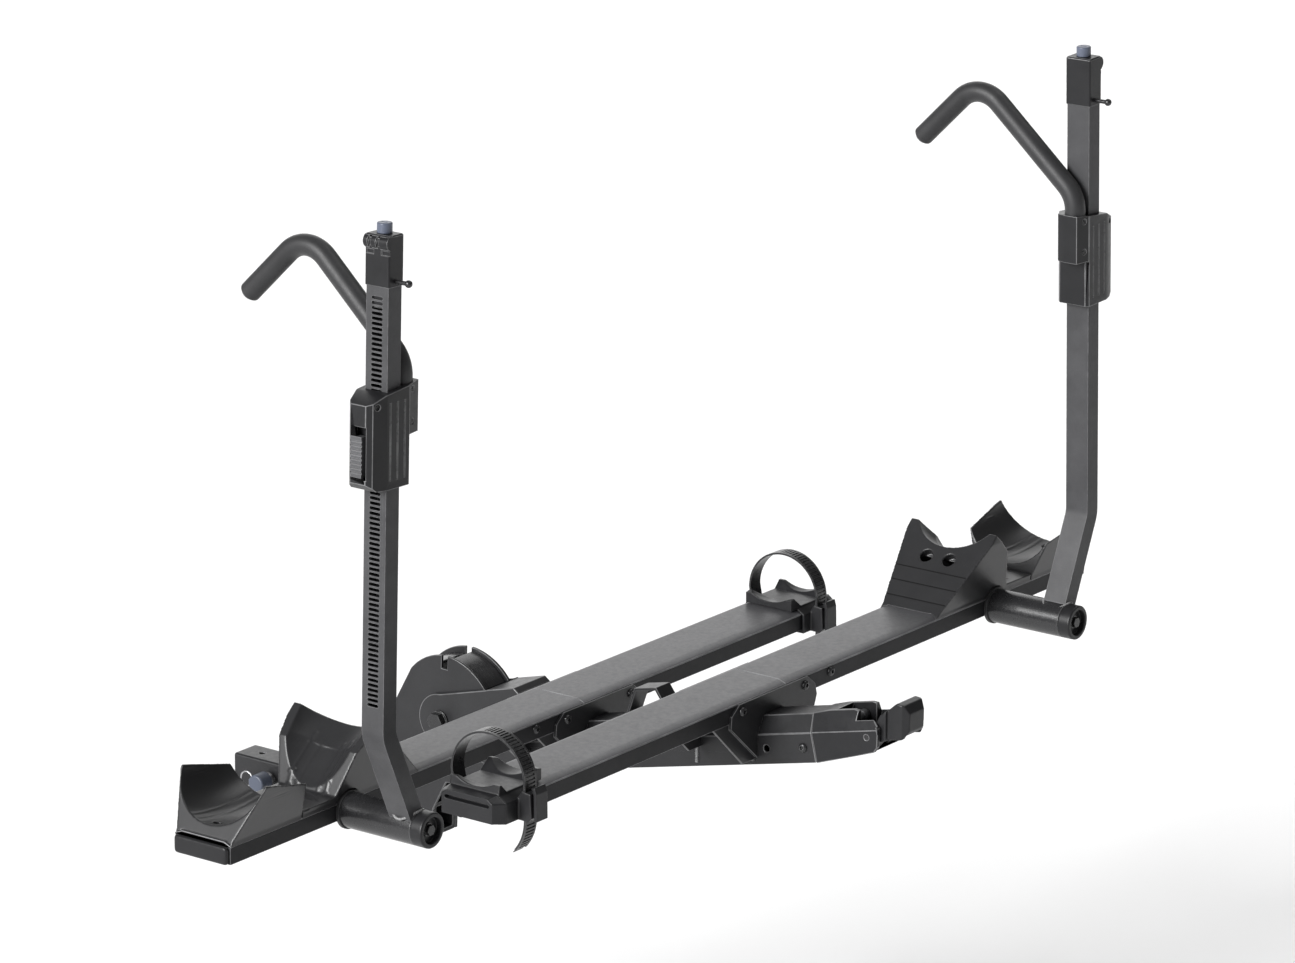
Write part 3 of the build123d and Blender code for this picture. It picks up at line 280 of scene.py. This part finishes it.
def moulded(node, material, grain, smooth, ribs=None):
    """A CAD node as a moulding: every edge and inner corner softly rounded."""
    bm = clean_copy(node, False)
    if ribs:
        flutes(bm, *ribs)
    obj = finish_mesh(bm, node + "_moulding", material, BODY[node], 179, False)
    remesh = obj.modifiers.new("remesh", "REMESH")
    remesh.mode, remesh.voxel_size, remesh.use_smooth_shade = "VOXEL", grain, True
    relax = obj.modifiers.new("relax", "SMOOTH")
    relax.iterations, relax.factor = smooth, 0.5
    graph = bpy.context.evaluated_depsgraph_get()
    baked = bpy.data.meshes.new_from_object(obj.evaluated_get(graph))
    obj.modifiers.clear()
    obj.data = baked
    baked.materials.clear()
    baked.materials.append(material)
    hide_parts(node)


def paint(node, material):
    """A CAD node that stays as it is, with its finish."""
    mesh = NODES[node].data
    mesh.materials.clear()
    mesh.materials.append(material)


def ring(bm, centre, side, other, radius, count):
    """Ring of points round centre; radius may be a number or a function of the angle."""
    turns = [2 * math.pi * k / count for k in range(count)]
    return [bm.verts.new(centre + (side * math.cos(t) + other * math.sin(t))
                         * (radius(t) if callable(radius) else radius)) for t in turns]


def close_rings(bm, rings):
    """Faces from each ring of points to the next, and a cap on both ends."""
    n = len(rings[0])
    for low, high in zip(rings, rings[1:]):
        for k in range(n):
            bm.faces.new((low[k], low[(k + 1) % n], high[(k + 1) % n], high[k]))
    bm.faces.new(rings[0][::-1])
    bm.faces.new(rings[-1])


def prism(bm, section, start, end, axis_x, axis_y):
    """Closed bar between two points, section given as (x, y) pairs in metres."""
    close_rings(bm, [[bm.verts.new(p + axis_x * a + axis_y * b) for a, b in section] for p in (start, end)])


def tube(bm, path, radius, sides):
    """Round tube along points; radius may be a number or a function of the index."""
    rings = []
    side = None
    for i, p in enumerate(path):
        a = path[i - 1] if i > 0 else p
        b = path[i + 1] if i < len(path) - 1 else p
        along = (b - a).normalized()
        if side is None:
            side = along.orthogonal().normalized()
        side = (side - along * side.dot(along)).normalized()
        rings.append(ring(bm, p, side, along.cross(side), radius(i) if callable(radius) else radius, sides))
    close_rings(bm, rings)


def lathe(bm, profile, origin, axis, sides):
    """Turned shape; profile is (radius, along) in metres."""
    side = axis.orthogonal().normalized()
    other = axis.cross(side)
    close_rings(bm, [ring(bm, origin + axis * h, side, other, r, sides) for r, h in profile])


def weld(name, points, radius, body):
    """Ripple bead along a joint."""
    step = 0.00065
    path = []
    for a, b in zip(points, points[1:]):
        steps = max(2, int((b - a).length / step))
        path += [a.lerp(b, k / steps) for k in range(steps)]
    path.append(points[-1])

    def ripple(i):
        return radius * (0.88 + 0.16 * math.sin(i * math.pi / 2) + 0.04 * math.sin(i * 0.37))

    bm = bmesh.new()
    tube(bm, path, ripple, 10)
    finish_mesh(bm, name, M["weld"], body, 60, False)


# ------------------------------------------------------------------ CAD pieces with rounded edges
# node: finish and width of the rounding (m)
BEVELLED = {
    "stinger": ("frame", 0.0012), "fork_plates": ("frame", 0.0009), "fork_web": ("tube", 0.0008),
    "spine_beam": ("frame", 0.0014), "bracket_a": ("frame", 0.0008), "bracket_b": ("frame", 0.0008),
    "hoop": ("frame", 0.0008), "tilt_bolt": ("hardware", 0.0008), "hitch_bolt": ("steel", 0.0005),
    "lever_pin": ("hardware", 0.0005), "pivot_bolts": ("hardware", 0.0005),
    "handle_housing": ("casing", 0.0012),
}
# node: finish, voxel size (m) and smoothing steps
MOULDED = {"release_lever": ("plastic", 0.0011, 6),
           "hitch_knob": ("knob", 0.0006, 4)}
PLAIN = {"pivot_bush": "bronze", "latch": "steel", "lanyard_ring": "steel"}
for k in "ab":
    BEVELLED.update({"tray_" + k: ("tray_side", 0.0008), "tray_cover_" + k: ("tray", 0.0008),
                     "pivot_seal_" + k: ("rubber", 0.0006), "pivot_tube_" + k: ("tube", 0.0008),
                     "lock_core_" + k: ("blue", 0.0006), "lock_stud_" + k: ("hardware", 0.0003),
                     "carriage_" + k: ("casing", 0.0009), "mast_cap_" + k: ("casing", 0.0006),
                     "button_" + k: ("grey", 0.0003)})
    MOULDED.update({"chock_" + k: ("sheen", 0.0013, 4), "cradle_" + k: ("sheen", 0.0013, 4),
                    "end_cap_" + k: ("plastic", 0.0012, 14),
                    "pivot_cap_" + k: ("plastic", 0.0008, 3), "strap_sleeve_" + k: ("plastic", 0.0010, 3),
                    "sleeve_cap_" + k: ("plastic", 0.0010, 4), "ratchet_lever_" + k: ("plastic", 0.0006, 4),
                    "hook_" + k: ("rubber", 0.0010, 3)})
    PLAIN.update({"pivot_axle_" + k: "steel", "pawl_" + k: "steel", "mast_" + k: "mast"})
for name, (finish, width) in BEVELLED.items():
    skin(name, finish, width)
for name, (finish, grain, smooth) in MOULDED.items():
    ribs = None
    if name[:-2] in ("chock", "cradle"):
        mid, s = TRAY[name[-1]]
        x0, x1 = (528, 590) if name[:-2] == "chock" else (668, 790)
        rows = [(mid.y + y, mid.z + 0.2) for y in (-0.033, -0.019, 0.019, 0.033)]
        rib_radius, rib_sink = 0.0070, 0.0062
        ribs = (rows, s * x0 / 1000, s * x1 / 1000, rib_radius, rib_sink)
    moulded(name, M[finish], grain, smooth, ribs)
for name, finish in PLAIN.items():
    paint(name, M[finish])


# ------------------------------------------------------------------ strap with its ladder of teeth
def strap(side):
    """Ladder strap of one unit: up from its rivet, over in a half circle, down, and out in a curled tail."""
    mid_x, arch, arch_z = -UNIT[side] - 50, 62.0, 13.0
    rise_steps, arch_steps, fall_steps = 12, 96, 24
    path = [(57 + 5 * t, -12 + 25 * t) for t in (k / rise_steps for k in range(rise_steps))]
    path += [(arch * math.cos(t), arch_z + arch * math.sin(t))
             for t in (math.pi * k / arch_steps for k in range(arch_steps + 1))]
    fall = [k / fall_steps for k in range(1, fall_steps + 1)]
    path += [(-62 - 0.5 * t, arch_z - 49 * t) for t in fall]
    path += [(-62.5 + 21.5 * t * t, -36 - 50 * (t - 0.12 * t * t) / 0.88) for t in fall]
    total = [0.0]
    for a, b in zip(path, path[1:]):
        total.append(total[-1] + math.dist(a, b))

    def spot(d):
        """Point and normal (y, z) at a length d along the strap."""
        d = min(max(d, 0.0), total[-1] - 1e-6)
        i = max(j for j, v in enumerate(total) if v <= d)
        f = (d - total[i]) / (total[i + 1] - total[i])
        (y0, z0), (y1, z1) = path[i], path[i + 1]
        run = math.hypot(y1 - y0, z1 - z0)
        ty, tz = (y1 - y0) / run, (z1 - z0) / run
        return (y0 + (y1 - y0) * f, z0 + (z1 - z0) * f), (-tz, ty)

    bm = bmesh.new()

    def rib(d0, d1, x0, x1, low, high, ends=0.0):
        """Bar along the strap from d0 to d1, x0 to x1 across and low to high off its middle."""
        n = max(1, int(abs(d1 - d0) / 1.6))
        rings = []
        for k in range(n + 1):
            d = d0 + (d1 - d0) * k / n
            (y, z), (ny, nz) = spot(d)
            trim = ends * (1 if k in (0, n) else 0)
            corners = ((x0 + trim, low), (x1 - trim, low), (x1 - trim, high - trim), (x0 + trim, high - trim))
            rings.append([bm.verts.new(at(side, mid_x + x, y + ny * h, z + nz * h)) for x, h in corners])
        close_rings(bm, rings)

    end = total[-1]
    teeth_from = total[rise_steps + 44]
    # the normal points to the wheel, so heights below zero are the strap's outer side
    rib(0, end - 7, -12.5, 12.5, 0.1, 1.5)
    rib(end - 7, end, -9.5, 9.5, 0.1, 1.4)
    rib(0, teeth_from, -12.5, 12.5, -1.5, 0.1)
    rib(teeth_from, end - 6, -12.5, -9.4, -1.5, 0.1)
    rib(teeth_from, end - 6, 9.4, 12.5, -1.5, 0.1)
    d = teeth_from + 2.0
    while d < end - 6:
        rib(d, d + 2.5, -9.6, 9.6, -1.4, 0.1, ends=0.15)
        d += 5.2
    bmesh.ops.recalc_face_normals(bm, faces=bm.faces)
    obj = finish_mesh(bm, "strap_ladder_" + side, M["strap"], "strap_unit_" + side, 30, False)
    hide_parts("strap_" + side)


for k in "ab":
    strap(k)


# ------------------------------------------------------------------ bolt heads with their sockets
def bolt_head(bm, seat, out, radius=7.0, tall=4.0, socket=3.4):
    """Button head on a face at seat (m), standing along out, with a six-sided socket; sizes in mm."""
    side = out.orthogonal().normalized()
    other = out.cross(side)
    mm, count = 0.001, 36

    def hexagon(t):
        return socket * math.cos(math.pi / 6) / math.cos((t % (math.pi / 3)) - math.pi / 6) * mm

    dome = ((0.94, 0.0), (1.0, 0.5), (0.98, 1.5), (0.86, 2.9), (0.66, 3.8), (0.58, 4.0))
    rings = [ring(bm, seat + out * h * tall / 4 * mm, side, other, radius * r * mm, count) for r, h in dome]
    rings.append(ring(bm, seat + out * tall * mm, side, other, hexagon, count))
    rings.append(ring(bm, seat + out * (tall - 2.4) * mm, side, other, lambda t: 0.97 * hexagon(t), count))
    close_rings(bm, rings)


bm = bmesh.new()
for mid, s in TRAY.values():
    for sign in (-1, 1):
        # two heads on the bracket's plate, which stands 4 mm off the tray, and one on the tray itself
        for x, z, off in ((-75, -17.7, 4), (75, -17.7, 4), (s * 143, -15, 0)):
            seat = mid + Vector((x, sign * (TRAY_FACE + off), z)) / 1000
            bolt_head(bm, seat, Vector((0, sign, 0)))
for sign in (-1, 1):
    bolt_head(bm, on_beam(sign * 38, *HOUSING_BOLT), Vector((sign, 0, 0)))
finish = finish_mesh(bm, "frame_bolt_heads", M["hardware"], "frame", 34, False)
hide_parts("frame_bolts")
for side in "ab":
    for u, w, v in ((-33.5, 129, -22.6), (-33.5, 84, -22.6), (37, 115, -19.2)):
        bm = bmesh.new()
        bolt_head(bm, up_mast(side, u, v, FOOT[side] + w), Vector((0, -1, 0)), 3.1, 1.0, 1.6)
        finish_mesh(bm, f"carriage_screw_{side}_{w}", M["hardware"], "hook_carriage_" + side, 34, False)


# ------------------------------------------------------------------ roller in the handle's recess
bm = bmesh.new()
origin = TRAY["a"][0] + Vector((-0.0185, -0.508, 0.058))
lathe(bm, [(0.004, 0), (0.0072, 0.0004), (0.0080, 0.002), (0.0080, 0.012), (0.0066, 0.013), (0.0066, 0.024),
           (0.0080, 0.025), (0.0080, 0.035), (0.0072, 0.0366), (0.004, 0.037)], origin, Vector((1, 0, 0)), 32)
finish_mesh(bm, "handle_roller", M["grey"], "frame", 34, False)


# ------------------------------------------------------------------ painted shade: near-black strips along the chocks' tread lines
RAMP_FOOT = (407.5, -5.0)     # x and z of the ramp's foot from the tray's middle and top, mm
RAMP_RUN, RAMP_CLIMB = 117.5, 106.0
TREADS = (26.2, 52.5, 77.4)   # distances up the ramp, mm
TREAD_SECTION = [(-0.0009, -0.0011), (0.0009, -0.0011), (0.0009, 0.0002), (-0.0009, 0.0002)]
ramp_length = math.hypot(RAMP_RUN, RAMP_CLIMB)
ux, uz = RAMP_RUN / ramp_length, RAMP_CLIMB / ramp_length
for side, (mid, s) in TRAY.items():
    bm = bmesh.new()
    for d in TREADS:
        x, z = RAMP_FOOT[0] + d * ux, RAMP_FOOT[1] + d * uz
        half = 50 + 26 * max(z, 0) / 88 - 1.5
        prism(bm, TREAD_SECTION, at(side, x, -half, z), at(side, x, half, z),
              Vector((s * ux, 0, uz)), Vector((-s * uz, 0, ux)))
    bmesh.ops.recalc_face_normals(bm, faces=bm.faces)
    finish_mesh(bm, "tread_shade_lines_" + side, M["dark"], "frame", 34, False)


# ------------------------------------------------------------------ welds
def ring_weld(name, along):
    """Bead round the beam's top and sides where an upright gusset meets it."""
    half, side, top_half, top = 38.6, 43.2, 24.4, 68.6
    section = [(-half, 6), (-half, side), (-top_half, top), (top_half, top), (half, side), (half, 6)]
    weld(name, [on_beam(x, along + math.tan(SPINE_RISE) * q, q) for x, q in section], 0.0030, "frame")


def foot_weld(side):
    """Bead round the mast's foot, which stands on its pivot tube."""
    foot_x, foot_z, half_y = 560.4 + 4, -19, 20.5
    half_x, tube_radius = 13.2 * 1.55, 25.6
    points = []
    for t in (2 * math.pi * k / 40 for k in range(41)):
        off = half_x * math.cos(t)
        points.append(at(side, foot_x + off, MAST_BEND[1] + half_y * math.sin(t),
                         foot_z + math.sqrt(tube_radius ** 2 - off ** 2)))
    weld("mast_foot_weld_" + side, points, 0.0023, "mast_arm_" + side)


for side, (mid, s) in TRAY.items():
    for sign, way in ((-1, "out"), (1, "in")):
        face = mid.y * 1000 + sign * (TRAY_FACE + sign * 4)   # 4 mm towards the vehicle on both sides
        ring_weld(f"gusset_weld_{side}_{way}", (SPINE_START[0] - face) / math.cos(SPINE_RISE))
    foot_weld(side)


# ------------------------------------------------------------------ camera, floor and light
def look():
    """Camera fitted to the photograph's straight edges."""
    azimuth, elevation, roll = math.radians(-53.0034), math.radians(16.1524), math.radians(0.1357)
    back = Vector((math.sin(azimuth) * math.cos(elevation), -math.cos(azimuth) * math.cos(elevation),
                   math.sin(elevation)))
    right = Vector((math.cos(azimuth), math.sin(azimuth), 0))
    up = back.cross(right)
    place = back * 8.580 + right * 0.1109 + up * 0.2982 + TRAY["a"][0]
    x = right * math.cos(roll) + up * math.sin(roll)
    y = back.cross(x)
    data = bpy.data.cameras.new("camera")
    data.lens, data.sensor_width, data.clip_end = 164.93, 36.0, 100.0
    cam = bpy.data.objects.new("camera", data)
    cam.matrix_world = Matrix.Translation(place) @ Matrix((x, y, back)).transposed().to_4x4()
    bpy.context.scene.collection.objects.link(cam)
    bpy.context.scene.camera = cam


def sun(name, direction, strength, spread):
    """Soft light from a direction; spread is its width in degrees."""
    data = bpy.data.lights.new(name, "SUN")
    data.energy, data.angle = strength, math.radians(spread)
    obj = bpy.data.objects.new(name, data)
    obj.rotation_euler = Vector(direction).to_track_quat("Z", "Y").to_euler()
    bpy.context.scene.collection.objects.link(obj)


FLOOR_Z = -0.42
look()
sun("key", (-0.90, 0.25, 0.42), 5.1, 30)
sun("side", (-0.99, 0.02, 0.13), 2.2, 40)
sun("rim", (0.74, 0.60, 0.34), 0.85, 50)
sun("top", (0.45, -0.25, 1.0), 0.7, 30)
bm = bmesh.new()
bmesh.ops.create_grid(bm, x_segments=4, y_segments=4, size=60)
bmesh.ops.translate(bm, verts=bm.verts, vec=(0, 0, FLOOR_Z))
mesh = bpy.data.meshes.new("floor")
bm.to_mesh(mesh)
bm.free()
floor = bpy.data.objects.new("floor", mesh)
bpy.context.scene.collection.objects.link(floor)
pale = bpy.data.materials.new("pale_floor")
pale.use_nodes = True
pale_bsdf = pale.node_tree.nodes["Principled BSDF"]
pale_bsdf.inputs["Base Color"].default_value = (0.93, 0.93, 0.93, 1)
pale_bsdf.inputs["Roughness"].default_value = 0.9
pale_bsdf.inputs["Specular IOR Level"].default_value = 0.0
floor.data.materials.append(pale)
world = bpy.data.worlds.new("studio")
bpy.context.scene.world = world
world.use_nodes = True
world.node_tree.nodes["Background"].inputs["Color"].default_value = (1, 1, 1, 1)
world.node_tree.nodes["Background"].inputs["Strength"].default_value = 0.14
bpy.context.scene.view_settings.view_transform = "Standard"
